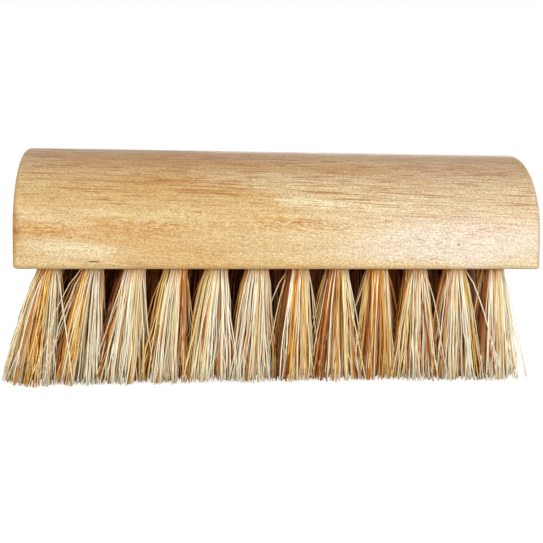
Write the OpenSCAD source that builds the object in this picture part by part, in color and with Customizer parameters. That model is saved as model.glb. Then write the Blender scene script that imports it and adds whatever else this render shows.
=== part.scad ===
// Hand scrub brush: a half-round wooden block with five staggered rows of
// plant-fibre tufts. Each tuft is a bundle folded over a flat wire anchor and
// driven into a blind hole, and all tufts are trimmed to one plane.
// +X runs along the block, +Z is up, and z = 0 is the plane of the trimmed tips.

/* [Block] */
// Length of the block
block_l = 190; // [150:1:240]
// Width of the block, which is also the width of its half-round top
block_w = 63; // [58:1:76]
// Height of the upright side below the half-round top
side_h = 13.5; // [8:0.5:22]
// Radius of the sanded edges
edge_r = 1.8; // [0.8:0.1:3]

/* [Holes] */
// Tufts in each outer row and in the centre row
tufts_per_row = 12; // [6:1:12]
// Distance from the block's left end to the first hole's centre
left_margin = 11; // [9:0.5:20]
// Distance from the last hole's centre to the block's right end
right_margin = 15; // [9:0.5:20]
// Distance from the side of the block to the outer row's centre
side_margin = 9.2; // [8:0.1:10]
// Diameter of the holes
hole_d = 8.8; // [7:0.1:9.4]
// Depth of the holes' straight wall
hole_depth = 17; // [12:0.5:20]
// Full angle of the drilled holes' pointed ends
drill_point = 118; // [90:1:140]

/* [Anchors] */
// Thickness of the flat wire
anchor_t = 0.5; // [0.3:0.05:0.8]
// Height of the flat wire
anchor_h = 2.6; // [1.5:0.1:4]
// How far each end of an anchor bites into the wood
anchor_bite = 0.7; // [0.3:0.1:1.2]

/* [Bristles] */
// Length of the bristles below the block
trim = 41.5; // [25:0.5:55]
// Gap between a folded bundle and its hole
bundle_gap = 0.05; // [0.02:0.01:0.2]
// Strands in a tuft's ring, which stands round one more in its middle
ring_strands = 6; // [5:1:6]
// Radius of a strand where it leaves the block
strand_root_r = 1.2; // [0.8:0.05:1.3]
// Radius of a strand at its trimmed tip
strand_tip_r = 1.35; // [0.5:0.05:1.4]
// Radius of the ring of tips in a tuft
tip_spread = 5.2; // [4.2:0.1:5.2]
// How far the outer rows lean out at their tips
side_lean = 2.4; // [0:0.1:2.6]
// How far tufts at the left end lean to the left at their tips
left_lean = 8.4; // [0:0.1:9]
// How far tufts in the middle lean to the left at their tips
middle_lean = 2.3; // [0:0.1:3]
// How far tufts at the right end lean to the right at their tips
right_lean = 0.7; // [0:0.1:6]

/* [Hidden] */
$fn = 96;
EPS = 0.01;
WOOD = [0.87, 0.71, 0.49];
STEEL = [0.72, 0.72, 0.74];
FIBRES = [[0.90, 0.80, 0.58], [0.86, 0.68, 0.36], [0.76, 0.52, 0.26], [0.93, 0.87, 0.70]];

ROWS = ["front", "mid_front", "centre", "mid_back", "back"];
row_pitch = (block_w - 2 * side_margin) / (len(ROWS) - 1);
tuft_pitch = (block_l - left_margin - right_margin) / (tufts_per_row - 1);

dome_r = block_w / 2;
bundle_r = hole_d / 2 - bundle_gap;
point_h = hole_d / 2 / tan(drill_point / 2);
anchor_l = hole_d + 2 * anchor_bite;

// The fold's arc is a little wider than the bundle, which the hole squeezes
fold_r = 1.1 * bundle_r;
fold_z = trim + hole_depth - fold_r;

// A strand starts this far up inside its folded bundle
strand_root_up = 1.5;
strand_sides = 3;
// Heights of a strand's rings, as shares of the way down from root to tip
STATIONS = [0, 0.35, 0.7, 1];
// How far each of those rings has moved from root to tip
SPREADS = [0, 0.3, 0.66, 1];
// Largest stray of one tip along X and Y
tip_stray = 0.35;
// Rise of a tip for each millimetre that it leans further along X than its tuft's own spread
tip_rise = 0.7;

// Every second row has one tuft fewer and stands half a pitch along
function row_count(r) = tufts_per_row - r % 2;
function tuft_x(r, i) = left_margin - block_l / 2 + (i + r % 2 / 2) * tuft_pitch;
function tuft_y(r) = (r - (len(ROWS) - 1) / 2) * row_pitch;
function two_digits(n) = n < 10 ? str("0", n) : str(n);
function tuft_name(r, i) = str("tuft_", ROWS[r], "_", two_digits(i + 1));

// A repeatable number from -1 to 1 for each set of whole numbers
function scatter(a, b, c) = 2 * rands(0, 1, 1, 1000 * a + 37 * b + c + 11)[0] - 1;

// The lean along X, on a parabola through the leans at both ends and the middle
function lean_x(x) =
    let (share = 2 * x / (block_l - left_margin - right_margin))
    (right_lean + left_lean) / 2 * share - middle_lean
        + ((right_lean - left_lean) / 2 + middle_lean) * pow(share, 2);
// Tufts lean out along Y in step with how far they stand from the middle row
function lean_y(y) = side_lean * y / tuft_y(len(ROWS) - 1);

function lerp(a, b, t) = a + (b - a) * t;

// The centres of strand k's rings, from its root in the bundle to its tip.
// Strand 0 stands in the middle of the tuft, and the others in a ring round it.
function strand_line(r, i, k) =
    let (
        x = tuft_x(r, i),
        y = tuft_y(r),
        angle = 180 * scatter(r, i, 0) + k * 360 / ring_strands,
        aim = k == 0 ? [0, 0] : [cos(angle), sin(angle)],
        root = [x, y] + aim * (bundle_r - strand_root_r - bundle_gap),
        stray = [scatter(r, i, k + 1), scatter(r, i, k + 21)] * tip_stray,
        tip = [x + lean_x(x), y + lean_y(y)] + aim * (tip_spread - tip_stray) + stray,
        tip_z = tip_rise * max(0, abs(tip[0] - root[0]) - tip_spread)
    )
    [for (s = [0 : len(STATIONS) - 1])
        let (flat = lerp(root, tip, SPREADS[s]))
        [flat[0], flat[1], lerp(trim + strand_root_up, tip_z, STATIONS[s])]];

// A thin faceted strand through the given ring centres, flat at both ends
module strand(line, turn) {
    last = len(line) - 1;
    points = [for (s = [0 : last]) for (k = [0 : strand_sides - 1])
        let (
            radius = lerp(strand_root_r, strand_tip_r, STATIONS[s]),
            angle = turn + k * 360 / strand_sides
        )
        line[s] + [cos(angle), sin(angle), 0] * radius];
    sides = [for (s = [0 : last - 1]) for (k = [0 : strand_sides - 1])
        let (
            a = s * strand_sides + k,
            b = s * strand_sides + (k + 1) % strand_sides
        )
        each [[a, b, b + strand_sides], [a, b + strand_sides, a + strand_sides]]];
    root_cap = [[for (k = [strand_sides - 1 : -1 : 0]) k]];
    tip_cap = [[for (k = [0 : strand_sides - 1]) last * strand_sides + k]];
    polyhedron(points, concat(sides, root_cap, tip_cap));
}

// Puts its children at every hole's mouth
module at_holes() {
    for (r = [0 : len(ROWS) - 1])
        for (i = [0 : row_count(r) - 1])
            translate([tuft_x(r, i), tuft_y(r), trim]) children();
}

// A flat rectangle centred on the origin, with round corners
module rounded_rectangle(length, width, radius) {
    square([length - 2 * radius, width], center = true);
    square([length, width - 2 * radius], center = true);
    for (sx = [-1, 1]) for (sy = [-1, 1])
        translate([sx * (length / 2 - radius), sy * (width / 2 - radius)]) circle(radius);
}

// The block below its half-round top, with sanded edges all round
module block_base() {
    // The sections run past the base's top, so that only their lower edges are round
    tall = 2 * side_h;
    intersection() {
        linear_extrude(side_h) rounded_rectangle(block_l, block_w, edge_r);
        translate([0, block_w / 2, side_h]) rotate([90, 0, 0])
            linear_extrude(block_w) rounded_rectangle(block_l, tall, edge_r);
        translate([-block_l / 2, 0, side_h]) rotate([90, 0, 90])
            linear_extrude(block_l) rounded_rectangle(block_w, tall, edge_r);
    }
}

// The half-round top, revolved about the block's long axis with round end edges
module block_dome() {
    translate([0, 0, side_h]) rotate([0, 90, 0]) rotate([0, 0, 90])
        rotate_extrude(angle = 180) intersection() {
            rounded_rectangle(block_w, block_l, edge_r);
            translate([0, -block_l / 2]) square([dome_r, block_l]);
        }
}

// One blind hole with its pointed end and the two slots that its anchor cuts
module hole() {
    translate([0, 0, -EPS]) cylinder(d = hole_d, h = hole_depth + EPS);
    translate([0, 0, hole_depth - EPS]) cylinder(d1 = hole_d, d2 = 0, h = point_h);
    translate([0, 0, fold_z - trim]) anchor();
}

// A flat wire strip that lies along X, with its upper edge at the origin
module anchor() {
    translate([-anchor_l / 2, -anchor_t / 2, -anchor_h])
        cube([anchor_l, anchor_t, anchor_h]);
}

module wood_block() {
    color(WOOD) difference() {
        translate([0, 0, trim]) union() {
            block_base();
            block_dome();
        }
        at_holes() hole();
    }
}

module tuft_anchors() {
    color(STEEL) at_holes() translate([0, 0, fold_z - trim]) anchor();
}

// The folded bundle in the hole: its fibres go up one side of the anchor and down the other
module bundle() {
    difference() {
        intersection() {
            translate([0, 0, trim]) cylinder(r = bundle_r, h = hole_depth);
            translate([-fold_r, 0, 0]) rotate([90, 0, 90]) linear_extrude(2 * fold_r) {
                translate([0, fold_z]) circle(fold_r);
                translate([-fold_r, trim]) square([2 * fold_r, fold_z - trim]);
            }
        }
        translate([0, 0, fold_z]) anchor();
    }
}

module tuft(r, i) {
    color(FIBRES[(5 * r + 3 * i) % len(FIBRES)]) union() {
        translate([tuft_x(r, i), tuft_y(r), 0]) bundle();
        for (k = [0 : ring_strands])
            strand(strand_line(r, i, k), 120 * scatter(r, i, k + 41));
    }
}

wood_block();
tuft_anchors();
for (r = [0 : len(ROWS) - 1])
    for (i = [0 : row_count(r) - 1])
        tuft(r, i);
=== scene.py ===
"""Hand scrub brush: a lacquered half-round block with five rows of plant-fibre tufts.

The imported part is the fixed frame. The block keeps its own mesh and gets a solid
wood finish, the wire anchors get a drawn-wire finish, and each tuft's solid is
replaced by a bundle of fine fibres that leave its hole, spread, clump together
and end on the trimmed plane. Lengths are in metres unless a name says otherwise.
"""

import logging
import math
from dataclasses import dataclass, field
from enum import Enum
from typing import Any

import bmesh
import bpy
import numpy as np
from mathutils import Matrix, Vector


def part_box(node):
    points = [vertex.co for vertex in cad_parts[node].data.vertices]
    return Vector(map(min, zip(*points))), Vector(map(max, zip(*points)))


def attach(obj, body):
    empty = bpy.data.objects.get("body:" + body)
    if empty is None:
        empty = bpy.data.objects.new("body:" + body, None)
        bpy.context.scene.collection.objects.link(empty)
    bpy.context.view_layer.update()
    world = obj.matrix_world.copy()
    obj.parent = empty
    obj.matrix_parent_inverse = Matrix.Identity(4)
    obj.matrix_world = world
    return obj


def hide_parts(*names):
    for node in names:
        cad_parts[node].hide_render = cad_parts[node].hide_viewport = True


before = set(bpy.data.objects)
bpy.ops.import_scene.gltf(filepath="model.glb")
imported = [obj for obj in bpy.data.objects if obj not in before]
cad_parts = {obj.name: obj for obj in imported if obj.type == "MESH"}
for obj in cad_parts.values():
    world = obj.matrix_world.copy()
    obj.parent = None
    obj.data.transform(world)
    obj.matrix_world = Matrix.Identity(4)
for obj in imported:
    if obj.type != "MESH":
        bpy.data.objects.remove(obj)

LOG = logging.getLogger("scrub_brush")
MM = 0.001
BODY = "root"
BLOCK_NODE = "wood_block"
ANCHOR_NODE = "tuft_anchors"

Triple = tuple[float, float, float]
Colour = tuple[float, float, float]
Span = tuple[float, float]
Stops = tuple[tuple[float, Colour], ...]
Socket = bpy.types.NodeSocket


def srgb(red: float, green: float, blue: float) -> Colour:
    """Turns a colour as the eye reads it, from 0 to 255, into the shader's linear colour.

    Args:
        red: Red from 0 to 255.
        green: Green from 0 to 255.
        blue: Blue from 0 to 255.

    Returns:
        The linear colour.
    """

    def linear(level: float) -> float:
        """Linear light for one channel."""
        share = level / 255
        return share / 12.92 if share <= 0.04045 else ((share + 0.055) / 1.055) ** 2.4

    return linear(red), linear(green), linear(blue)


class Row(Enum):
    """The five rows of tufts, from the front of the block to its back."""

    FRONT = "front"
    MID_FRONT = "mid_front"
    CENTRE = "centre"
    MID_BACK = "mid_back"
    BACK = "back"

    @property
    def outwards(self) -> int:
        """The way along Y that leads out of the brush, or 0 in an inner row."""
        return (self is Row.BACK) - (self is Row.FRONT)


class NodeSheet:
    """Places and links the nodes of one material, world or node group."""

    # A Mix node has sockets of one name for numbers, vectors and colours, so colours go by place
    MIX_UNDER = 6
    MIX_OVER = 7
    MIX_RESULT = 2

    def __init__(self, tree: bpy.types.NodeTree) -> None:
        """Starts on a node tree that may already hold nodes."""
        self.tree = tree

    def put(self, kind: str, **settings: Any) -> bpy.types.Node:
        """Adds a node.

        Args:
            kind: The node's type name, without the ShaderNode prefix.
            settings: Properties of the node.

        Returns:
            The new node.
        """
        prefix = "" if kind.startswith("Node") else "ShaderNode"
        node = self.tree.nodes.new(prefix + kind)
        for name, value in settings.items():
            setattr(node, name, value)
        return node

    def feed(self, socket: Socket, value: Any) -> None:
        """Links an output to a socket, or writes a plain value to it.

        Args:
            socket: The input to feed.
            value: An output socket, a number, a vector or a colour.
        """
        if isinstance(value, bpy.types.NodeSocket):
            self.tree.links.new(value, socket)
        elif socket.type == "RGBA" and len(value) == 3:
            socket.default_value = (*value, 1.0)
        else:
            socket.default_value = value

    def maths(self, operation: str, *inputs: Any) -> Socket:
        """Adds a Math node.

        Args:
            operation: The Math node's operation.
            inputs: Its inputs in order.

        Returns:
            The result.
        """
        node = self.put("Math", operation=operation)
        for socket, value in zip(node.inputs, inputs):
            self.feed(socket, value)
        return node.outputs[0]

    def scaled(self, value: Any, by: Any, plus: Any = 0.0) -> Socket:
        """Multiplies a value, and adds another to the product."""
        return self.maths("MULTIPLY_ADD", value, by, plus)

    def fade(self, value: Any, zero_at: Any, one_at: Any) -> Socket:
        """Adds a smooth step, which may also fall from 1 to 0.

        Args:
            value: What is read.
            zero_at: Where the result is 0.
            one_at: Where the result is 1.

        Returns:
            The step from 0 to 1.
        """
        node = self.put("MapRange", interpolation_type="SMOOTHSTEP")
        for name, given in (("Value", value), ("From Min", zero_at), ("From Max", one_at)):
            self.feed(node.inputs[name], given)
        return node.outputs["Result"]

    def noise(
        self, place: Any, scale: float = 1.0, detail: float = 2.0, rough: float = 0.5
    ) -> Socket:
        """Adds a noise texture.

        Args:
            place: The coordinates.
            scale: Waves for each unit of the coordinates.
            detail: Octaves.
            rough: How strong each next octave is.

        Returns:
            The noise, about 0.5 in the mean.
        """
        node = self.put("TexNoise")
        self.feed(node.inputs["Vector"], place)
        node.inputs["Scale"].default_value = scale
        node.inputs["Detail"].default_value = detail
        node.inputs["Roughness"].default_value = rough
        return node.outputs["Fac"]

    def framed(
        self, place: Any, size: Triple, centre: Triple = (0, 0, 0), turn: Triple = (0, 0, 0)
    ) -> Socket:
        """Reads coordinates in a frame of its own.

        Args:
            place: The coordinates.
            size: The length of the frame's unit along each of its axes.
            centre: Where the frame's origin lies.
            turn: The frame's turn about each axis, in radians.

        Returns:
            The coordinates in that frame.
        """
        node = self.put("Mapping", vector_type="TEXTURE")
        self.feed(node.inputs["Vector"], place)
        node.inputs["Location"].default_value = centre
        node.inputs["Rotation"].default_value = turn
        node.inputs["Scale"].default_value = size
        return node.outputs["Vector"]

    def patches(
        self, place: Any, size: Triple, centre: Triple = (0, 0, 0), detail: float = 2.0
    ) -> Socket:
        """Adds noise whose patches have the given size along each axis."""
        return self.noise(self.framed(place, size, centre), detail=detail)

    def parts(self, vector: Any) -> tuple[Socket, ...]:
        """Takes a vector apart.

        Args:
            vector: The vector.

        Returns:
            Its X, Y and Z.
        """
        node = self.put("SeparateXYZ")
        self.feed(node.inputs["Vector"], vector)
        return tuple(node.outputs)

    def joined(self, *parts: Any) -> Socket:
        """Makes a vector.

        Args:
            parts: Its X, Y and Z, where those left out are 0.

        Returns:
            The vector.
        """
        node = self.put("CombineXYZ")
        for socket, part in zip(node.inputs, parts):
            self.feed(socket, part)
        return node.outputs["Vector"]

    def chance(self, value: Any) -> Socket:
        """Turns each value into a random number of its own.

        Args:
            value: What is read.

        Returns:
            A number from 0 to 1.
        """
        node = self.put("TexWhiteNoise", noise_dimensions="1D")
        self.feed(node.inputs["W"], value)
        return node.outputs["Value"]

    def blended(self, share: Any, under: Any, over: Any, kind: str = "MIX") -> Socket:
        """Lays one colour over another.

        Args:
            share: How much of the upper colour shows.
            under: The lower colour.
            over: The upper colour.
            kind: The blend type.

        Returns:
            The blended colour.
        """
        node = self.put("Mix", data_type="RGBA", blend_type=kind)
        self.feed(node.inputs["Factor"], share)
        self.feed(node.inputs[self.MIX_UNDER], under)
        self.feed(node.inputs[self.MIX_OVER], over)
        return node.outputs[self.MIX_RESULT]

    def stained(
        self, mask: Any, strength: float, under: Any, over: Any, kind: str = "MIX"
    ) -> Socket:
        """Lays one colour over another where a mask says, at less than its full strength."""
        return self.blended(self.scaled(mask, by=strength), under, over, kind)

    def ramp(self, value: Any, stops: Stops) -> Socket:
        """Adds a colour ramp.

        Args:
            value: What is read, from 0 to 1.
            stops: Places and their colours.

        Returns:
            The colour.
        """
        node = self.put("ValToRGB")
        band = node.color_ramp
        while len(band.elements) < len(stops):
            band.elements.new(1.0)
        for stop, (place, colour) in zip(band.elements, stops):
            stop.position = place
            stop.color = (*colour, 1.0)
        self.feed(node.inputs["Fac"], value)
        return node.outputs["Color"]

    def placed_group(self, group: bpy.types.NodeTree, **inputs: Any) -> bpy.types.Node:
        """Adds a node group.

        Args:
            group: The group's tree.
            inputs: Its inputs by name.

        Returns:
            The group's node.
        """
        node = self.put("Group", node_tree=group)
        for name, value in inputs.items():
            self.feed(node.inputs[name], value)
        return node


def new_object(name: str, data: bpy.types.ID) -> bpy.types.Object:
    """Makes an object and links it to the scene.

    Args:
        name: The object's name.
        data: Its mesh, camera or lamp.

    Returns:
        The object.
    """
    made = bpy.data.objects.new(name, data)
    bpy.context.scene.collection.objects.link(made)
    return made


def dressed(node: str, material: bpy.types.Material) -> bpy.types.Object:
    """Gives a node that keeps its own mesh a finish.

    Args:
        node: The node's name.
        material: Its new material.

    Returns:
        The node's object.
    """
    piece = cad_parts[node]
    for slot in piece.material_slots:
        slot.material = material
    return piece


def points_of(mesh: bpy.types.Mesh) -> np.ndarray:
    """Reads a mesh's points.

    Args:
        mesh: The mesh.

    Returns:
        A row of X, Y and Z for each vertex.
    """
    points = np.empty(len(mesh.vertices) * 3, np.float32)
    mesh.vertices.foreach_get("co", points)
    return points.reshape(-1, 3).astype(float)


def new_material(name: str) -> tuple[bpy.types.Material, NodeSheet, bpy.types.Node]:
    """Makes a material with a Principled shader.

    Args:
        name: The material's name.

    Returns:
        The material, its node sheet and its shader node.
    """
    material = bpy.data.materials.new(name)
    material.use_nodes = True
    return material, NodeSheet(material.node_tree), material.node_tree.nodes["Principled BSDF"]


def streak_group() -> bpy.types.NodeTree:
    """Builds the effect of fine parallel streaks, which wood, fibre and wire share.

    Returns:
        A group that takes coordinates in millimetres with the streaks along X, and puts
        out a soft value for fine streaks and a mask for the few strong ones.
    """
    strong_size = (1.25, 1.4, 1.4)
    strong_start = (31.0, 17.0, 5.0)
    strong_edge = 0.1
    group = bpy.data.node_groups.new("fine_streaks", "ShaderNodeTree")
    made = group.interface.new_socket
    made(name="Place", in_out="INPUT", socket_type="NodeSocketVector")
    for name, usual in (("Length", 12.0), ("Width", 0.4), ("Rarity", 0.62)):
        made(name=name, in_out="INPUT", socket_type="NodeSocketFloat").default_value = usual
    made(name="Fine", in_out="OUTPUT", socket_type="NodeSocketFloat")
    made(name="Strong", in_out="OUTPUT", socket_type="NodeSocketFloat")
    sheet = NodeSheet(group)
    given = sheet.put("NodeGroupInput").outputs
    put_out = sheet.put("NodeGroupOutput").inputs
    shares = sheet.put("VectorMath", operation="DIVIDE")
    sheet.feed(shares.inputs[0], given["Place"])
    sheet.feed(shares.inputs[1], sheet.joined(given["Length"], given["Width"], given["Width"]))
    place = shares.outputs["Vector"]
    strong = sheet.patches(place, strong_size, strong_start, detail=1.0)
    above = sheet.maths("ADD", given["Rarity"], strong_edge)
    sheet.feed(put_out["Fine"], sheet.noise(place, detail=3.0, rough=0.6))
    sheet.feed(put_out["Strong"], sheet.fade(strong, given["Rarity"], above))
    return group


class Tint(Enum):
    """The colours that wood takes on in soft pockets, and a painted sheen of the lacquer."""

    CREAM = srgb(226, 207, 164)
    AMBER = srgb(192, 130, 44)
    # Painted highlight: a pale pinkish colour laid where the lacquer reflects the front right lamp
    BLEACHED = srgb(222, 204, 183)
    BURNT = srgb(92, 46, 20)


@dataclass(frozen=True)
class Pocket:
    """A soft ellipsoid of tinted wood or of painted sheen, in millimetres from the block's centre
    and underside.
    """

    tint: Tint
    centre: Triple
    reach: Triple
    strength: float
    slope: float = 0.0
    streaky: float = 0.0


@dataclass(frozen=True)
class WoodFinish:
    """The block's wood: flat-sawn at its front, with close rings towards its top.

    Rings run round a pith line behind the block, so the front shows broad soft bands
    and the top close dark lines, and the ends show arcs. Sizes of patches run along
    the grain, across the block and up it.
    """

    pale: Colour = srgb(216, 189, 136)
    warm: Colour = srgb(206, 168, 109)
    broad_mm: Triple = (70, 13, 13)

    latewood: Colour = srgb(180, 124, 72)
    latewood_strength: float = 0.75
    pith_mm: tuple[float, float] = (38.0, 26.0)
    ring_mm: float = 1.6
    growth_change: float = 0.22
    growth_swing: float = 3.4
    wander_mm: float = 4.0
    wander_size_mm: Triple = (110, 24, 24)
    patchy_mm: Triple = (40, 9, 9)
    grain_slope: float = math.radians(2.4)

    ragged_mm: Triple = (16, 5, 3.2)
    raggedness: float = 0.9
    figure_powers: Triple = (0.65, 1.0, 1.35)
    figure_streaks: float = 0.9
    figure_speckle: float = 1.5
    figure_level: float = -0.18
    speckle_mm: Triple = (0.75, 0.4, 0.4)

    pore: Colour = srgb(160, 88, 36)
    pore_strength: float = 0.66
    pore_group_mm: Triple = (26, 5, 5)
    lines_mm: Span = (16.0, 27.0)

    burnished: Colour = srgb(212, 152, 86)
    burnish_strength: float = 0.65
    foot_share: float = 0.3
    edge_mm: float = 1.7
    edge_patch_mm: Triple = (8, 6, 2)
    # Painted shade: the top of the dome turns darker and greyer, where less light falls on it
    painted_top_shade: Colour = (0.88, 0.79, 0.84)
    painted_top_shade_mm: Span = (26.0, 42.0)

    end_grain: Colour = srgb(206, 162, 108)
    end_latewood: Colour = srgb(150, 98, 56)
    end_strength: float = 0.85
    arc_strength: float = 0.75
    cell_strength: float = 0.5
    cell_mm: Triple = (8, 0.32, 0.32)
    mottle_mm: Triple = (20, 9, 9)

    roughness: float = 0.41
    streak_dullness: float = 0.1
    latewood_gloss: float = 0.06
    streak_height: float = 0.5
    pore_depth: float = 0.6
    relief: float = 0.25
    relief_mm: float = 0.05
    shine: float = 0.35
    coat: float = 0.1
    coat_roughness: float = 0.34

    pockets: tuple[Pocket, ...] = (
        # Painted highlight: a broad pale pinkish sheen over the right part of the block
        Pocket(Tint.BLEACHED, (70.0, -26.0, 20.0), (80.0, 30.0, 26.0), 0.34),
        Pocket(Tint.CREAM, (5.0, -22.0, 31.0), (46.0, 12.0, 7.0), 0.65, math.radians(2)),
        Pocket(Tint.AMBER, (-68.0, -20.0, 31.0), (52.0, 20.0, 12.0), 0.13),
        Pocket(Tint.CREAM, (-73.0, -32.0, 6.8), (21.0, 12.0, 4.4), 0.8, math.radians(4)),
        Pocket(Tint.CREAM, (20.0, -30.0, 23.4), (38.0, 9.0, 2.4), 1.0, math.radians(4)),
        # Painted highlight: the lacquer's sheen on the lower right of the front face
        Pocket(Tint.BLEACHED, (66.0, -32.0, 9.0), (52.0, 15.0, 12.0), 0.72),
        Pocket(Tint.AMBER, (-68.0, -31.5, 12.8), (36.0, 8.0, 5.4), 0.26, math.radians(2)),
        Pocket(Tint.AMBER, (-84.0, -31.5, 13.6), (14.0, 8.0, 3.0), 0.95, math.radians(3), 0.8),
        Pocket(Tint.AMBER, (-52.0, -31.5, 14.6), (24.0, 8.0, 3.8), 0.9, math.radians(2), 0.9),
        Pocket(Tint.AMBER, (2.0, -31.5, 16.0), (28.0, 8.0, 4.6), 0.75, math.radians(3), 1.0),
        Pocket(Tint.AMBER, (-12.0, -28.5, 26.5), (18.0, 8.0, 1.8), 0.5, math.radians(2), 1.0),
        Pocket(Tint.AMBER, (-95.5, -31.0, 14.0), (3.6, 8.0, 16.0), 0.62),
        Pocket(Tint.BURNT, (-94.0, -30.0, 18.6), (3.8, 4.0, 1.0), 0.6, math.radians(-14), 0.5),
        Pocket(Tint.BURNT, (-94.2, -31.0, 13.4), (2.8, 4.0, 1.5), 0.66, 0.0, 0.4),
        Pocket(Tint.BURNT, (-67.5, -31.5, 2.6), (3.0, 2.0, 0.36), 0.9),
        Pocket(Tint.BURNT, (63.5, -31.5, 9.0), (0.8, 2.0, 0.55), 0.8),
    )

    def build(self, streaks: bpy.types.NodeTree, low: Vector, high: Vector) -> bpy.types.Material:
        """Builds the material.

        Args:
            streaks: The shared streak group.
            low: The block's lowest corner.
            high: The block's highest corner.

        Returns:
            The wood material.
        """
        layers = WoodLayers(self, streaks, low, high)
        layers.ground()
        layers.rings()
        layers.pockets()
        layers.figure()
        layers.pores()
        layers.edges()
        layers.ends()
        layers.surface()
        return layers.material


class WoodLayers:
    """The wood's nodes, in layers that each lie over the colour of the one before.

    Besides the colour, they leave the masks of the growth rings on the sides and on the
    ends, the fine streaks and the mask of all dark marks.
    """

    colour: Socket
    late: Socket
    arcs: Socket
    fine: Socket
    dark: Socket

    def __init__(
        self, finish: WoodFinish, streaks: bpy.types.NodeTree, low: Vector, high: Vector
    ) -> None:
        """Starts the material and its coordinates: flat, and sloping along the grain.

        Args:
            finish: The wood's colours and measures.
            streaks: The shared streak group.
            low: The block's lowest corner.
            high: The block's highest corner.
        """
        self.finish = finish
        self.streaks = streaks
        self.half_length_mm = high.x / MM
        self.material, self.sheet, self.shader = new_material("lacquered_wood")
        coords = self.sheet.put("TexCoord").outputs["Object"]
        self.flat = self.sheet.framed(coords, (MM, MM, MM), centre=(0.0, 0.0, low.z))
        self.along = self.sheet.framed(self.flat, (1, 1, 1), turn=(0, finish.grain_slope, 0))

    def ground(self) -> None:
        """Lays down the broad change between warm and pale."""
        broad = self.sheet.patches(self.along, self.finish.broad_mm, detail=3.0)
        share = self.sheet.fade(broad, zero_at=0.34, one_at=0.66)
        self.colour = self.sheet.blended(share, self.finish.warm, self.finish.pale)

    def rings(self) -> None:
        """Adds the growth rings as thin latewood bands round the pith.

        The sides show them in patches, and the ends show all of them as arcs.
        """
        finish, sheet = self.finish, self.sheet
        _, y, z = sheet.parts(self.along)
        across = sheet.maths("SUBTRACT", y, finish.pith_mm[0])
        up = sheet.maths("SUBTRACT", z, finish.pith_mm[1])
        squares = sheet.scaled(across, by=across, plus=sheet.maths("MULTIPLY", up, up))
        wander = sheet.patches(self.along, finish.wander_size_mm)
        radius = sheet.scaled(wander, by=finish.wander_mm, plus=sheet.maths("SQRT", squares))
        growth = sheet.noise(sheet.joined(radius), finish.growth_change, detail=1.0)
        even = sheet.maths("DIVIDE", radius, finish.ring_mm)
        phase = sheet.scaled(growth, by=finish.growth_swing, plus=even)
        share = sheet.maths("FRACT", phase)
        rise = sheet.fade(share, zero_at=0.55, one_at=0.94)
        drop = sheet.fade(share, zero_at=1.0, one_at=0.95)
        bands = sheet.maths("MULTIPLY", rise, drop)
        chance = sheet.chance(sheet.maths("FLOOR", phase))
        patchy = sheet.patches(self.along, finish.patchy_mm, centre=(90, 30, 70))
        amount = sheet.maths("MULTIPLY", sheet.fade(patchy, zero_at=0.34, one_at=0.62), chance)
        self.late = sheet.maths("MULTIPLY", bands, amount)
        self.arcs = sheet.maths("MULTIPLY", bands, sheet.scaled(chance, by=0.75, plus=0.25))
        self.colour = sheet.stained(
            self.late, finish.latewood_strength, self.colour, finish.latewood
        )

    def pockets(self) -> None:
        """Adds the soft pockets of tinted wood and of painted sheen, of which the streaky ones
        break up.
        """
        finish, sheet = self.finish, self.sheet
        short = sheet.placed_group(self.streaks, Place=self.along, Length=3.4, Width=0.7)
        flecks = sheet.fade(short.outputs["Fine"], zero_at=0.44, one_at=0.6)
        ragged = sheet.patches(self.flat, finish.ragged_mm, detail=3.0)
        for pocket in finish.pockets:
            length = sheet.put("VectorMath", operation="LENGTH")
            local = sheet.framed(self.flat, pocket.reach, pocket.centre, (0, pocket.slope, 0))
            sheet.feed(length.inputs[0], local)
            reach = sheet.scaled(ragged, by=finish.raggedness, plus=length.outputs["Value"])
            mask = sheet.fade(reach, zero_at=1.5, one_at=0.8)
            if pocket.streaky:
                broken = sheet.scaled(flecks, by=pocket.streaky, plus=1 - pocket.streaky)
                mask = sheet.maths("MULTIPLY", mask, broken)
            self.colour = sheet.stained(mask, pocket.strength, self.colour, pocket.tint.value)

    def figure(self) -> None:
        """Adds the fine figure of the grain and the speckle of its cut cells."""
        finish, sheet = self.finish, self.sheet
        streaks = sheet.placed_group(self.streaks, Place=self.along, Length=11.0, Width=0.42)
        self.fine = streaks.outputs["Fine"]
        speckle = sheet.patches(self.along, finish.speckle_mm, detail=1.0)
        streaked = sheet.scaled(self.fine, by=finish.figure_streaks, plus=finish.figure_level)
        level = sheet.scaled(speckle, by=finish.figure_speckle, plus=streaked)
        channels = [sheet.maths("POWER", level, power) for power in finish.figure_powers]
        self.colour = sheet.blended(1.0, self.colour, sheet.joined(*channels), "MULTIPLY")

    def pores(self) -> None:
        """Adds long thin dark lines, mostly high up, and short dashes, which come in groups."""
        finish, sheet = self.finish, self.sheet
        lines = sheet.placed_group(
            self.streaks, Place=self.along, Length=26.0, Width=0.32, Rarity=0.545
        )
        moved = sheet.framed(self.along, (1, 1, 1), centre=(57, 23, 11))
        dashes = sheet.placed_group(self.streaks, Place=moved, Length=3.6, Width=0.42, Rarity=0.63)
        groups = sheet.patches(self.along, finish.pore_group_mm, centre=(78, 40, 10))
        _, _, z = sheet.parts(self.along)
        shown = sheet.scaled(sheet.fade(z, *finish.lines_mm), by=0.9, plus=0.1)
        grouped = sheet.fade(groups, zero_at=0.4, one_at=0.6)
        long_ones = sheet.maths("MULTIPLY", lines.outputs["Strong"], shown)
        short_ones = sheet.maths("MULTIPLY", dashes.outputs["Strong"], grouped)
        self.dark = sheet.maths("MAXIMUM", long_ones, short_ones)
        self.colour = sheet.stained(self.dark, finish.pore_strength, self.colour, finish.pore)

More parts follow.
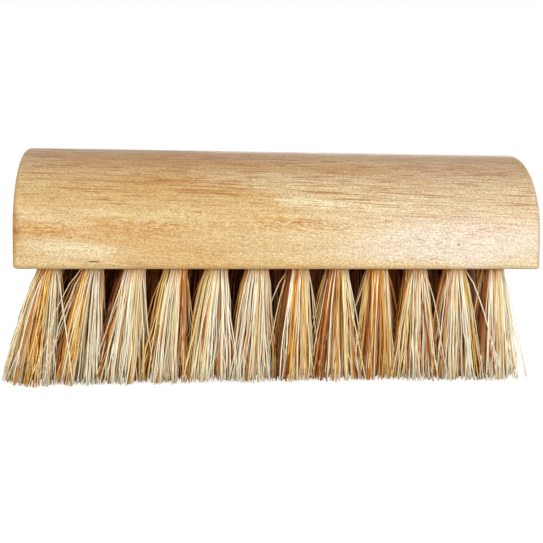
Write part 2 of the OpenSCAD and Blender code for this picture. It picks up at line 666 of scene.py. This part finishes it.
    def edges(self) -> None:
        """Darkens the burnished edges, and paints shade over the top of the dome."""
        finish, sheet = self.finish, self.sheet
        x, _, z = sheet.parts(self.flat)
        to_end = sheet.maths("SUBTRACT", self.half_length_mm, sheet.maths("ABSOLUTE", x))
        at_end = sheet.fade(to_end, zero_at=finish.edge_mm, one_at=0.0)
        at_foot = sheet.fade(z, zero_at=finish.edge_mm, one_at=0.0)
        either = sheet.maths("MAXIMUM", at_end, sheet.scaled(at_foot, by=finish.foot_share))
        ragged = sheet.patches(self.flat, finish.edge_patch_mm, detail=3.0)
        edge = sheet.maths("MULTIPLY", either, ragged)
        colour = sheet.stained(edge, finish.burnish_strength, self.colour, finish.burnished)
        # Painted shade, growing towards the top of the dome
        top_shade = sheet.fade(z, *finish.painted_top_shade_mm)
        self.colour = sheet.blended(top_shade, colour, finish.painted_top_shade, "MULTIPLY")

    def ends(self) -> None:
        """Lays end grain on both flat ends: darker wood with arcs of latewood and open cells."""
        finish, sheet = self.finish, self.sheet
        cells = sheet.fade(sheet.patches(self.flat, finish.cell_mm), zero_at=0.5, one_at=0.7)
        open_cells = sheet.scaled(cells, by=finish.cell_strength)
        dark = sheet.maths("MAXIMUM", sheet.scaled(self.arcs, by=finish.arc_strength), open_cells)
        mottled = sheet.fade(sheet.patches(self.flat, finish.mottle_mm), zero_at=0.3, one_at=0.7)
        pale = sheet.blended(mottled, finish.end_grain, finish.warm)
        grain = sheet.blended(dark, pale, finish.end_latewood)
        normal_x, _, _ = sheet.parts(sheet.put("NewGeometry").outputs["Normal"])
        end_face = sheet.fade(sheet.maths("ABSOLUTE", normal_x), zero_at=0.75, one_at=0.98)
        self.colour = sheet.stained(end_face, finish.end_strength, self.colour, grain)

    def surface(self) -> None:
        """Gives the shader the colour, the sheen, the relief and the thin lacquer."""
        finish, sheet, inputs = self.finish, self.sheet, self.shader.inputs
        sheet.feed(inputs["Base Color"], self.colour)
        dull = sheet.scaled(self.late, by=-finish.latewood_gloss, plus=finish.roughness)
        sheet.feed(inputs["Roughness"], sheet.scaled(self.fine, finish.streak_dullness, dull))
        sunk = sheet.scaled(self.dark, by=-finish.pore_depth)
        bump = sheet.put("Bump")
        bump.inputs["Strength"].default_value = finish.relief
        bump.inputs["Distance"].default_value = finish.relief_mm * MM
        sheet.feed(bump.inputs["Height"], sheet.scaled(self.fine, finish.streak_height, sunk))
        sheet.feed(inputs["Normal"], bump.outputs["Normal"])
        inputs["Specular IOR Level"].default_value = finish.shine
        inputs["Coat Weight"].default_value = finish.coat
        inputs["Coat Roughness"].default_value = finish.coat_roughness


@dataclass(frozen=True)
class FibreFinish:
    """Plant fibre, from dark brown husk to bleached ivory, as a tone from 0 to 1.

    About a third of the fibres are golden. A painted shade from 0 to 1 darkens them near their
    roots and deep among the tufts.
    """

    husk_and_root_shade: Colour = srgb(190, 108, 36)
    husk_strength: float = 0.35
    tones: Stops = (
        (0.0, srgb(106, 50, 12)),
        (0.14, husk_and_root_shade),
        (0.3, srgb(218, 134, 52)),
        (0.46, srgb(250, 204, 108)),
        (0.64, srgb(255, 232, 160)),
        (0.84, srgb(255, 243, 202)),
        (1.0, srgb(255, 250, 226)),
    )
    tone_change: float = 0.16
    fibre_mm: float = 42.0
    tones_apart_mm: float = 300.0
    golden: Colour = (1.0, 0.86, 0.38)
    golden_strength: float = 0.8
    golden_odds: Span = (0.64, 0.72)
    golden_scatter: float = 977.0
    # Painted shade: what the colour is multiplied by, from no shade to full shade
    shades: Stops = (
        (0.0, (1.0, 1.0, 1.0)),
        (0.5, (0.6, 0.37, 0.22)),
        (1.0, (0.3, 0.11, 0.05)),
    )
    roughness: float = 0.26
    streak_dullness: float = 0.2
    shade_dullness: float = 0.6
    shine: float = 0.55
    shine_colour: Colour = (1.0, 0.8, 0.55)

    def build(self, streaks: bpy.types.NodeTree) -> bpy.types.Material:
        """Builds the material, which reads each fibre's tone, its painted shade and the way along
        it.

        Args:
            streaks: The shared streak group.

        Returns:
            The fibre material.
        """
        material, sheet, shader = new_material("plant_fibre")
        tone, along, shade = (
            sheet.put("Attribute", attribute_name=name).outputs["Fac"]
            for name in (Tuft.TONE, Tuft.ALONG, Tuft.SHADE)
        )
        place = sheet.joined(
            sheet.maths("MULTIPLY", along, self.fibre_mm),
            sheet.maths("MULTIPLY", tone, self.tones_apart_mm),
        )
        marks = sheet.placed_group(streaks, Place=place, Length=6.0, Width=0.5, Rarity=0.66)
        fine = marks.outputs["Fine"]
        low_tone = sheet.maths("SUBTRACT", tone, self.tone_change / 2)
        colour = sheet.ramp(sheet.scaled(fine, by=self.tone_change, plus=low_tone), self.tones)
        colour = sheet.stained(marks.outputs["Strong"], self.husk_strength, colour, self.husk_and_root_shade)
        chance = sheet.chance(sheet.maths("MULTIPLY", tone, self.golden_scatter))
        gilt = sheet.fade(chance, *self.golden_odds)
        colour = sheet.stained(gilt, self.golden_strength, colour, self.golden, "MULTIPLY")
        # Painted shade: darker and warmer brown where fibres stand deep among the tufts or near the
        # block
        colour = sheet.blended(1.0, colour, sheet.ramp(shade, self.shades), "MULTIPLY")
        sheet.feed(shader.inputs["Base Color"], colour)
        rough = sheet.scaled(fine, by=self.streak_dullness, plus=self.roughness)
        rough = sheet.scaled(shade, by=self.shade_dullness, plus=rough)
        sheet.feed(shader.inputs["Roughness"], rough)
        shader.inputs["Specular IOR Level"].default_value = self.shine
        sheet.feed(shader.inputs["Specular Tint"], self.shine_colour)
        return material


@dataclass(frozen=True)
class WireFinish:
    """Flat drawn steel wire with fine drawing lines and a trace of tarnish."""

    bright: Colour = srgb(196, 196, 200)
    tarnish: Colour = srgb(120, 108, 92)
    tarnish_strength: float = 0.6
    stains_per_mm: float = 0.3
    roughness: float = 0.2
    line_dullness: float = 0.3

    def build(self, streaks: bpy.types.NodeTree) -> bpy.types.Material:
        """Builds the material.

        Args:
            streaks: The shared streak group.

        Returns:
            The wire material.
        """
        material, sheet, shader = new_material("drawn_wire")
        coords = sheet.put("TexCoord").outputs["Object"]
        place = sheet.framed(coords, (MM, MM, MM))
        lines = sheet.placed_group(streaks, Place=place, Length=8.0, Width=0.12).outputs["Fine"]
        noise = sheet.noise(place, self.stains_per_mm, detail=4.0)
        stain = sheet.fade(noise, zero_at=0.5, one_at=0.75)
        colour = sheet.stained(stain, self.tarnish_strength, self.bright, self.tarnish)
        sheet.feed(shader.inputs["Base Color"], colour)
        rough = sheet.scaled(lines, by=self.line_dullness, plus=self.roughness)
        sheet.feed(shader.inputs["Roughness"], rough)
        shader.inputs["Metallic"].default_value = 1.0
        return material


@dataclass
class WoodBlock:
    """The half-round block, whose mesh comes from the frame as it is."""

    finish: WoodFinish = field(default_factory=WoodFinish)

    @property
    def low(self) -> Vector:
        """The block's lowest corner."""
        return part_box(BLOCK_NODE)[0]

    @property
    def high(self) -> Vector:
        """The block's highest corner."""
        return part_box(BLOCK_NODE)[1]

    def dress(self, streaks: bpy.types.NodeTree) -> bpy.types.Object:
        """Gives the block its finish, and returns its object."""
        return dressed(BLOCK_NODE, self.finish.build(streaks, self.low, self.high))


@dataclass
class WireAnchors:
    """The flat wire strips that hold the folded bundles, inside the block."""

    finish: WireFinish = field(default_factory=WireFinish)

    def dress(self, streaks: bpy.types.NodeTree) -> bpy.types.Object:
        """Gives the anchors their finish, and returns their object."""
        return dressed(ANCHOR_NODE, self.finish.build(streaks))


@dataclass(frozen=True)
class Hole:
    """The mouth of one tuft's hole."""

    x: float
    y: float
    radius: float

    @classmethod
    def of(cls, node: str, underside: float) -> "Hole":
        """Reads a hole from the straight part of the bundle inside it.

        Args:
            node: The tuft's node.
            underside: The height of the block's underside.

        Returns:
            The hole.
        """
        clear_of_strands = 4 * MM
        points = points_of(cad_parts[node].data)
        inside = points[points[:, 2] > underside + clear_of_strands]
        low, high = inside.min(0), inside.max(0)
        middle = (low + high) / 2
        return cls(float(middle[0]), float(middle[1]), float(high[1] - low[1]) / 2)


@dataclass(frozen=True)
class Splay:
    """How the tufts lean and spread, measured where they are trimmed."""

    left_lean: float = 6.7 * MM
    middle_lean: float = 2.6 * MM
    right_lean: float = -0.6 * MM
    side_lean: float = 1.2 * MM
    spread: float = 9.4 * MM
    spread_change: float = 0.9 * MM
    stray: float = 1.7 * MM
    middle_wear: float = 1.1 * MM

    def lean(self, hole: Hole, reach_x: float, reach_y: float) -> tuple[float, float]:
        """Works out how far a tuft's middle leans, on a parabola along the block.

        Args:
            hole: The tuft's hole.
            reach_x: How far the end holes lie from the block's middle.
            reach_y: How far the outer rows lie from the middle row.

        Returns:
            The lean along X and along Y.
        """
        share = hole.x / reach_x
        at_ends = (self.right_lean - self.left_lean) / 2
        slope = (self.right_lean + self.left_lean) / 2
        lean_x = slope * share - self.middle_lean + (at_ends + self.middle_lean) * share**2
        return lean_x, self.side_lean * hole.y / reach_y

    def worn(self, hole: Hole, reach_x: float) -> float:
        """Works out how much shorter a tuft is: most in the block's middle, nothing at its ends."""
        return self.middle_wear * (1 - (hole.x / reach_x) ** 2)


@dataclass(frozen=True)
class FibreBlank:
    """One straight fibre of unit length and unit radius, from its root at 0 to its tip at 1."""

    sides: int = 4
    lengths: int = 8

    def mesh(self) -> bpy.types.Mesh:
        """Builds the blank as a closed prism with evenly spaced rings.

        Returns:
            The blank's mesh.
        """
        half = 0.5
        blank = bmesh.new()
        bmesh.ops.create_cone(
            blank, cap_ends=True, segments=self.sides, radius1=1.0, radius2=1.0, depth=1.0
        )
        upright = [e for e in blank.edges if abs(e.verts[0].co.z - e.verts[1].co.z) > half]
        bmesh.ops.subdivide_edges(blank, edges=upright, cuts=self.lengths - 1, use_grid_fill=True)
        bmesh.ops.translate(blank, verts=blank.verts, vec=(0, 0, half))
        bmesh.ops.recalc_face_normals(blank, faces=blank.faces)
        for face in blank.faces:
            face.smooth = abs(face.normal.z) < half
        made = bpy.data.meshes.new("fibre_blank")
        blank.to_mesh(made)
        blank.free()
        return made


@dataclass
class Bundle:
    """Many straight fibre blanks in one mesh, with the maps that all tufts share.

    Each fibre has a cell of the map. Across it, a side runs from map_left to map_right. Up it,
    the sides run from map_foot to map_head, and the cut ends lie in the margins beyond them,
    as strips of the height map_cap.
    """

    fibres: int = 270
    blank: FibreBlank = field(default_factory=FibreBlank)
    map_columns: int = 16
    map_left: float = 0.15
    map_right: float = 0.85
    map_foot: float = 0.12
    map_head: float = 0.88
    map_gap: float = 0.02
    map_cap: float = 0.08
    mesh: bpy.types.Mesh = field(init=False)
    points: np.ndarray = field(init=False)

    def build(self) -> None:
        """Builds the shared mesh and reads its coordinates once."""
        blank = self.blank.mesh()
        packed = bmesh.new()
        for _ in range(self.fibres):
            packed.from_mesh(blank)
        self.mesh = bpy.data.meshes.new("straight_bundle")
        packed.to_mesh(self.mesh)
        packed.free()
        self.points = points_of(self.mesh).reshape(self.fibres, -1, 3)
        self.lay_map()
        bpy.data.meshes.remove(blank)

    def lay_map(self) -> None:
        """Gives each fibre its own cell of a map that colours can be baked into.

        The sides lie over each other, because a fibre's colour doesn't change round it.
        """
        mesh = self.mesh
        corners = np.empty(len(mesh.loops), np.int32)
        mesh.loops.foreach_get("vertex_index", corners)
        starts = np.empty(len(mesh.polygons), np.int32)
        sizes = np.empty(len(mesh.polygons), np.int32)
        mesh.polygons.foreach_get("loop_start", starts)
        mesh.polygons.foreach_get("loop_total", sizes)
        fibre, vertex = np.divmod(corners, self.points.shape[1])
        x, y, z = self.points[0][vertex].T
        quarter = np.round(np.degrees(np.arctan2(y, x)) / 90)
        across = self.map_left + (self.map_right - self.map_left) * (quarter % 2)
        up = self.map_foot + (self.map_head - self.map_foot) * z
        face = np.repeat(np.arange(len(starts)), sizes)
        lowest = np.minimum.reduceat(z, starts)[face]
        highest = np.maximum.reduceat(z, starts)[face]
        is_cap = np.isclose(lowest, highest)
        turn = (np.arange(len(corners)) - starts[face]) % 4
        cap_across = np.where((turn == 1) | (turn == 2), self.map_right, self.map_left)
        cap_foot = np.where(lowest > 0, 1 - self.map_gap - self.map_cap, self.map_gap)
        across = np.where(is_cap, cap_across, across)
        up = np.where(is_cap, cap_foot + self.map_cap * (turn > 1), up)
        rows = math.ceil(self.fibres / self.map_columns)
        row, column = np.divmod(fibre, self.map_columns)
        places = np.stack([(column + across) / self.map_columns, (row + up) / rows], 1)
        layer = mesh.uv_layers.new(name="OFBake")
        layer.uv.foreach_set("vector", places.astype(np.float32).ravel())


@dataclass(frozen=True)
class FibreHabit:
    """How the fibres of a tuft vary in width, clump, stray, bend, crinkle and end.

    A span is the least and the most of a random share or length.
    """

    width_change: float = 0.14
    width_limits: Span = (0.6, 1.4)
    root_scatter: float = 0.025
    clumps: int = 17
    clump_pull: float = 0.52
    clump_loose: Span = (0.4, 1.2)
    clump_reach: float = 1.04
    stray_share: float = 0.2
    stray_reach: float = 3.6 * MM
    stray_limit: float = 5 * MM
    wear: Span = (0.6, 1.1)
    uneven_shape: float = 1.4
    uneven_size: float = 0.4 * MM
    short_share: float = 0.09
    short_by: Span = (1 * MM, 9 * MM)
    lift_from: float = 8.5 * MM
    lift: float = 0.5
    bow: Span = (0.66, 1.0)
    waves: Span = (0.6, 2.2)
    crinkle_shape: float = 2.0
    crinkle_size: float = 0.22 * MM


@dataclass(frozen=True)
class FibreTones:
    """How often each tone of fibre comes up, and where tones are paler as painted light or darker
    as painted shade.
    """

    # Each kind's tone, its odds for a clump and its odds for a fibre on its own
    kinds: tuple[Triple, ...] = (
        (0.02, 0.08, 0.13),
        (0.14, 0.23, 0.11),
        (0.3, 0.13, 0.07),
        (0.5, 0.06, 0.06),
        (0.7, 0.08, 0.08),
        (0.9, 0.16, 0.19),
        (1.0, 0.26, 0.36),
    )
    alone_share: float = 0.54
    scatter: float = 0.06
    painted_light_right: float = 0.3
    painted_light_outside: float = 0.3
    painted_shade_inner_row: float = 0.06
    limits: Span = (0.02, 0.99)


@dataclass(frozen=True)
class PaintedFibreShades:
    """How far painted shade darkens the fibres, as shares of their length and of full shade.

    Painted shade darkens a fibre from its root, where the hole and the block shade it. In the inner
    rows it runs on further, and the deeper a fibre stands, the more of it there is. Painted shade
    for depth darkens whole fibres, and in the inner rows all but their tips.
    """

    # Painted shade at the root: in the hole and just below its mouth
    husk_and_root_shade: float = 0.4
    root_shade_fades_over: float = 0.06
    inner_root_shade: Span = (0.35, 1.0)
    inner_root_shade_runs: Span = (0.1, 0.5)
    inner_root_shade_fades_over: float = 0.45
    middle_depth: float = 0.66
    outside_depth: float = -0.08
    depth_power: float = 1.5
    depth_shade: float = 0.88
    depth_shade_odds: Span = (0.3, 1.0)
    tip_from: float = 0.5
    tip_full: float = 0.9
    tip_light: float = 0.8


@dataclass
class Tuft:
    """One tuft of fine fibres, which stands for the solid tuft of its node.

    Its end_side is -1 at the left end of its row, 1 at the right end and 0 between them.
    """

    TONE = "fibre_tone"
    ALONG = "fibre_along"
    SHADE = "fibre_shade"
    SEED = 33

    node: str
    row: Row
    number: int
    end_side: int
    hole: Hole
    underside: float
    lean: tuple[float, float]
    worn: float
    splay: Splay
    habit: FibreHabit = FibreHabit()
    palette: FibreTones = FibreTones()
    dark: PaintedFibreShades = PaintedFibreShades()
    root_up: float = 3.0 * MM
    in_hole: float = 1 / FibreBlank.lengths
    root_radius: float = 0.23 * MM
    tip_radius: float = 0.185 * MM
    rng: np.random.Generator = field(init=False)
    roots: np.ndarray = field(init=False)

    def build(self, bundle: Bundle, material: bpy.types.Material) -> bpy.types.Object:
        """Bends a copy of the straight bundle into this tuft.

        Args:
            bundle: The shared straight bundle.
            material: The fibre material.

        Returns:
            The tuft's object, which rides on the block's body.
        """
        self.rng = np.random.default_rng([list(Row).index(self.row), self.number, self.SEED])
        self.roots = self.packed(bundle.fibres)
        tips, clump = self.tips()
        tones = self.tones(clump)
        mesh = bundle.mesh.copy()
        mesh.name = self.name
        local = bundle.points
        along = local[:, :, 2]
        centres = self.bent(tips, along)
        width = self.rng.normal(1.0, self.habit.width_change, (bundle.fibres, 1))
        radius = self.root_radius + (self.tip_radius - self.root_radius) * along
        radius = radius * width.clip(*self.habit.width_limits)
        centres[:, :, :2] += local[:, :, :2] * radius[:, :, None]
        mesh.vertices.foreach_set("co", centres.astype(np.float32).ravel())
        self.write(mesh, self.TONE, np.repeat(tones, along.shape[1]))
        self.write(mesh, self.ALONG, along.ravel())
        self.write(mesh, self.SHADE, self.shades(along).ravel())
        mesh.materials.append(material)
        mesh.update()
        tuft = new_object(self.name, mesh)
        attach(tuft, BODY)
        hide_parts(self.node)
        return tuft

    @property
    def name(self) -> str:
        """The piece's name."""
        return f"fibres_{self.row.value}_{self.number:02d}"

    @staticmethod
    def write(mesh: bpy.types.Mesh, name: str, values: np.ndarray) -> None:
        """Writes a named number for each of a mesh's vertices."""
        attribute = mesh.attributes.new(name, "FLOAT", "POINT")
        attribute.data.foreach_set("value", values.astype(np.float32))

    def packed(self, count: int) -> np.ndarray:
        """Packs the fibres' roots evenly into the hole.

        Args:
            count: How many fibres there are.

        Returns:
            Places from the hole's centre, as shares of its radius.
        """
        golden = math.pi * (3 - math.sqrt(5))
        order = np.arange(count)
        reach = np.sqrt((order + 0.5) / count)
        turn = order * golden + self.rng.uniform(0, math.tau)
        even = np.stack([reach * np.cos(turn), reach * np.sin(turn)], 1)
        loose = even + self.rng.normal(0, self.habit.root_scatter, even.shape)
        return loose / np.maximum(1.0, np.linalg.norm(loose, axis=1))[:, None]

    def tips(self) -> tuple[np.ndarray, np.ndarray]:
        """Works out where the fibres end, clumped together and with some strays.

        Returns:
            The tips' places, and each fibre's clump.
        """
        rng, roots, habit = self.rng, self.roots, self.habit
        spread = self.splay.spread + rng.uniform(-1, 1) * self.splay.spread_change
        middle = np.array([self.hole.x + self.lean[0], self.hole.y + self.lean[1]])
        offsets = roots * spread + rng.normal(0, self.splay.stray, roots.shape)
        clump_at = roots[rng.choice(len(roots), habit.clumps, replace=False)]
        gaps = np.linalg.norm(roots[:, None] - clump_at[None], axis=2)
        clump = gaps.argmin(1)
        pull = habit.clump_pull * rng.uniform(*habit.clump_loose, (len(roots), 1))
        offsets += (clump_at[clump] * spread * habit.clump_reach - offsets) * pull
        strays = rng.random(len(roots)) < habit.stray_share
        away = rng.normal(0, habit.stray_reach, (int(strays.sum()), 2))
        offsets[strays] += away.clip(-habit.stray_limit, habit.stray_limit)
        return middle + offsets, clump

    def tones(self, clump: np.ndarray) -> np.ndarray:
        """Chooses each fibre's tone: clumps are alike, the right and outer sides are paler as
        painted light, and the inner rows are darker as painted shade.

        Args:
            clump: Each fibre's clump.

        Returns:
            A tone from 0 to 1 for each fibre.
        """
        rng, roots, palette = self.rng, self.roots, self.palette
        kinds, clump_odds, own_odds = np.array(palette.kinds).T
        of_clump = rng.choice(kinds, self.habit.clumps, p=clump_odds)
        own = rng.choice(kinds, len(roots), p=own_odds)
        alone = rng.random(len(roots)) < palette.alone_share
        # Painted light: fibres on the right of the tuft, towards the key lamp, get paler tones
        tone = np.where(alone, own, of_clump[clump]) + palette.painted_light_right * roots[:, 0]
        tone += rng.normal(0, palette.scatter)
        tone += rng.normal(0, palette.scatter, len(roots))
        # Painted light on the outer side of an outer row and painted shade on its inner side;
        # painted shade over the inner rows
        if self.row.outwards:
            tone += palette.painted_light_outside * self.row.outwards * roots[:, 1]
        else:
            tone -= palette.painted_shade_inner_row
        return tone.clip(*palette.limits)

    def shades(self, along: np.ndarray) -> np.ndarray:
        """Works out how dark the painted shade at the root and from depth makes each fibre along
        its length.

        Args:
            along: Each vertex's way along its fibre, from 0 to 1.

        Returns:
            A painted shade from 0 to 1 for each vertex.
        """
        rng, dark, one_each = self.rng, self.dark, (len(along), 1)
        depth = self.depths()[:, None]
        husk_and_root_shade, runs, fades_over = dark.husk_and_root_shade, 0.0, dark.root_shade_fades_over
        if not self.row.outwards:
            least, most = dark.inner_root_shade
            husk_and_root_shade = least + (most - least) * depth
            runs = rng.uniform(*dark.inner_root_shade_runs, one_each)
            fades_over = dark.inner_root_shade_fades_over
        # Painted shade near the root, where the block and the other tufts shade the fibres
        near_root = husk_and_root_shade * (1 + (self.in_hole + runs - along) / fades_over).clip(0, 1)
        # Painted shade for depth among the tufts
        depth_shade = dark.depth_shade * depth**dark.depth_power
        depth_shade = depth_shade * rng.uniform(*dark.depth_shade_odds, one_each)
        if not self.row.outwards:
            towards_tip = (along - dark.tip_from) / (dark.tip_full - dark.tip_from)
            depth_shade = depth_shade * (1 - dark.tip_light * towards_tip.clip(0, 1))
        return np.maximum(near_root, depth_shade)

    def depths(self) -> np.ndarray:
        """Works out how deep the fibres stand among the tufts, which sets their painted shade.

        Returns:
            For each fibre, 0 on the outside of the brush and up to 1 inside it.
        """
        outside = np.full(len(self.roots), -1.0)
        if self.row.outwards:
            outside = self.row.outwards * self.roots[:, 1]
        if self.end_side:
            outside = np.maximum(outside, self.end_side * self.roots[:, 0])
        change = self.dark.outside_depth - self.dark.middle_depth
        return (self.dark.middle_depth + change * outside).clip(0, 1)

    def bent(self, tips: np.ndarray, along: np.ndarray) -> np.ndarray:
        """Lays each fibre's centre line from its root to its tip.

        A fibre stands upright in its hole. Below the hole's mouth it splays, bows outwards
        a little and has a slight crinkle. A fibre that leans further ends higher.

        Args:
            tips: The tips' places.
            along: Each vertex's way along its fibre, from 0 to 1.

        Returns:
            A centre for each vertex.
        """
        rng, habit, count = self.rng, self.habit, len(tips)
        reach = self.hole.radius - self.root_radius
        start = np.array([self.hole.x, self.hole.y]) + self.roots * reach
        lean = np.linalg.norm(tips - start, axis=1)
        missing = self.worn * rng.uniform(*habit.wear)
        missing = missing + rng.gamma(habit.uneven_shape, habit.uneven_size, count)
        short = rng.random(count) < habit.short_share
        missing[short] += rng.uniform(*habit.short_by, int(short.sum()))
        tip_z = missing + habit.lift * np.maximum(0, lean - habit.lift_from)
        below = ((along - self.in_hole) / (1 - self.in_hole)).clip(0, 1)
        inside = 1 - (along / self.in_hole).clip(0, 1)
        share = below ** rng.uniform(*habit.bow, (count, 1))
        centres = np.empty((*along.shape, 3))
        for axis in range(2):
            run = start[:, axis, None] + (tips - start)[:, axis, None] * share
            waves = rng.uniform(*habit.waves, (count, 1))
            phase = rng.uniform(0, math.tau, (count, 1))
            size = rng.gamma(habit.crinkle_shape, habit.crinkle_size, (count, 1))
            crinkle = size * below * np.sin(waves * math.tau * below + phase)
            centres[:, :, axis] = run + crinkle
        drop = (tip_z[:, None] - self.underside) * below
        centres[:, :, 2] = self.underside + self.root_up * inside + drop
        return centres


@dataclass
class TuftField:
    """All the tufts under the block, in their five rows."""

    splay: Splay = field(default_factory=Splay)
    bundle: Bundle = field(default_factory=Bundle)
    finish: FibreFinish = field(default_factory=FibreFinish)

    def members(self) -> list[tuple[Row, int, str]]:
        """Finds the tufts' nodes in the frame.

        Returns:
            Row, number and node of each tuft.
        """
        found = []
        for row in Row:
            prefix = f"tuft_{row.value}_"
            nodes = sorted(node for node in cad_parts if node.startswith(prefix))
            found += [(row, int(node.removeprefix(prefix)), node) for node in nodes]
        return found

    def build(self, underside: float, streaks: bpy.types.NodeTree) -> list[bpy.types.Object]:
        """Builds every tuft.

        Args:
            underside: The height of the block's underside.
            streaks: The shared streak group.

        Returns:
            The tufts' objects.
        """
        material = self.finish.build(streaks)
        self.bundle.build()
        members = self.members()
        holes = {node: Hole.of(node, underside) for _, _, node in members}
        reach_x = max(abs(hole.x) for hole in holes.values())
        reach_y = max(abs(hole.y) for hole in holes.values())
        last = {row: number for row, number, _ in members}
        made = []
        for row, number, node in members:
            hole = holes[node]
            side = (number == last[row]) - (number == 1)
            lean = self.splay.lean(hole, reach_x, reach_y)
            worn = self.splay.worn(hole, reach_x)
            tuft = Tuft(node, row, number, side, hole, underside, lean, worn, self.splay)
            made.append(tuft.build(self.bundle, material))
        bpy.data.meshes.remove(self.bundle.mesh)
        return made


@dataclass(frozen=True)
class PhotoCamera:
    """The photograph's viewpoint, fitted to the outline of the block."""

    beside: float = -33.2 * MM
    before: float = -303.25 * MM
    above_underside: float = 10.56 * MM
    yaw: float = math.radians(-5.895)
    pitch: float = math.radians(-2.38)
    roll: float = math.radians(-0.239)
    focal_px: float = 767.3
    frame_px: float = 543.0
    sensor_mm: float = 36.0

    def build(self, underside: float) -> bpy.types.Object:
        """Makes the camera and sets it as the scene's own.

        Args:
            underside: The height of the block's underside.

        Returns:
            The camera.
        """
        data = bpy.data.cameras.new("photo_camera")
        data.sensor_width = self.sensor_mm
        data.lens = self.focal_px / self.frame_px * self.sensor_mm
        data.clip_start = 0.01
        data.clip_end = 20.0
        camera = new_object("photo_camera", data)
        turn = Matrix.Rotation(self.yaw, 4, "Z") @ Matrix.Rotation(self.pitch, 4, "X")
        turn = turn @ Matrix.Rotation(self.roll, 4, "Y") @ Matrix.Rotation(math.pi / 2, 4, "X")
        place = Vector((self.beside, self.before, underside + self.above_underside))
        camera.matrix_world = Matrix.Translation(place) @ turn
        bpy.context.scene.camera = camera
        return camera


@dataclass(frozen=True)
class SoftLamp:
    """One square area lamp that faces the brush."""

    name: str
    place: Triple
    size: float
    watts: float
    colour: Colour = (1.0, 1.0, 1.0)

    def build(self, target: Vector) -> bpy.types.Object:
        """Makes the lamp.

        Args:
            target: The point that it faces.

        Returns:
            The lamp.
        """
        data = bpy.data.lights.new(self.name, "AREA")
        data.shape = "SQUARE"
        data.size = self.size
        data.energy = self.watts
        data.color = self.colour
        lamp = new_object(self.name, data)
        lamp.location = self.place
        lamp.rotation_mode = "QUATERNION"
        lamp.rotation_quaternion = (target - lamp.location).to_track_quat("-Z", "Y")
        return lamp


@dataclass
class Studio:
    """A pale floor, a white surround and soft lamps."""

    lamps: tuple[SoftLamp, ...] = (
        SoftLamp("key_front_right", (0.40, -0.78, 0.07), 0.3, 4.9),
        SoftLamp("fill_front_left", (-0.4, -0.85, 0.24), 0.5, 4.0),
        SoftLamp("soft_back", (0.25, 0.85, 0.3), 0.5, 2.2),
    )
    aim: Triple = (0.0, 0.0, 0.05)
    ambient: float = 0.26
    floor_half: float = 3.0
    floor_colour: Colour = (0.86, 0.86, 0.86)
    floor_lift: float = 0.79

    def build(self) -> None:
        """Builds the surround, the floor and the lamps."""
        self.surround()
        self.floor()
        for lamp in self.lamps:
            lamp.build(Vector(self.aim))
        bpy.context.scene.view_settings.view_transform = "Standard"

    def surround(self) -> None:
        """Makes the world white to the camera and soft grey as a light."""
        world = bpy.data.worlds.new("studio")
        bpy.context.scene.world = world
        world.use_nodes = True
        sheet = NodeSheet(world.node_tree)
        rays = sheet.put("LightPath")
        seen = sheet.maths("MAXIMUM", rays.outputs["Is Camera Ray"], rays.outputs["Is Glossy Ray"])
        seen = sheet.maths("MAXIMUM", seen, rays.outputs["Is Transmission Ray"])
        strength = sheet.maths("MULTIPLY_ADD", seen, 1.0 - self.ambient, self.ambient)
        background = world.node_tree.nodes["Background"]
        background.inputs["Color"].default_value = (1.0, 1.0, 1.0, 1.0)
        sheet.feed(background.inputs["Strength"], strength)

    def floor(self) -> None:
        """Lays a pale floor that keeps the brush's shadow and is clear from below."""
        grid = bmesh.new()
        bmesh.ops.create_grid(grid, x_segments=1, y_segments=1, size=self.floor_half)
        mesh = bpy.data.meshes.new("floor")
        grid.to_mesh(mesh)
        grid.free()
        floor = new_object("floor", mesh)
        material, sheet, shader = new_material("pale_floor")
        shader.inputs["Roughness"].default_value = 1.0
        shader.inputs["Specular IOR Level"].default_value = 0.0
        rays = sheet.put("LightPath")
        sheet.feed(shader.inputs["Base Color"], self.floor_colour)
        shader.inputs["Emission Color"].default_value = (1.0, 1.0, 1.0, 1.0)
        lift = sheet.maths("MULTIPLY", rays.outputs["Is Camera Ray"], self.floor_lift)
        sheet.feed(shader.inputs["Emission Strength"], lift)
        clear = sheet.put("BsdfTransparent")
        either = sheet.put("MixShader")
        sheet.feed(either.inputs["Fac"], sheet.put("NewGeometry").outputs["Backfacing"])
        sheet.feed(either.inputs[1], shader.outputs["BSDF"])
        sheet.feed(either.inputs[2], clear.outputs["BSDF"])
        output = material.node_tree.nodes["Material Output"]
        sheet.feed(output.inputs["Surface"], either.outputs["Shader"])
        mesh.materials.append(material)


def report(piece: bpy.types.Object) -> None:
    """Logs a finished piece's name and how many faces it has."""
    LOG.info("%s: %d faces", piece.name, len(piece.data.polygons))


def main() -> None:
    """Builds the brush and its studio around the frame."""
    logging.basicConfig(level=logging.INFO, format="%(name)s: %(message)s")
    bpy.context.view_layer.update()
    block = WoodBlock()
    PhotoCamera().build(block.low.z)
    streaks = streak_group()
    report(block.dress(streaks))
    report(WireAnchors().dress(streaks))
    for tuft in TuftField().build(block.low.z, streaks):
        report(tuft)
    Studio().build()


if __name__ == "__main__":
    main()
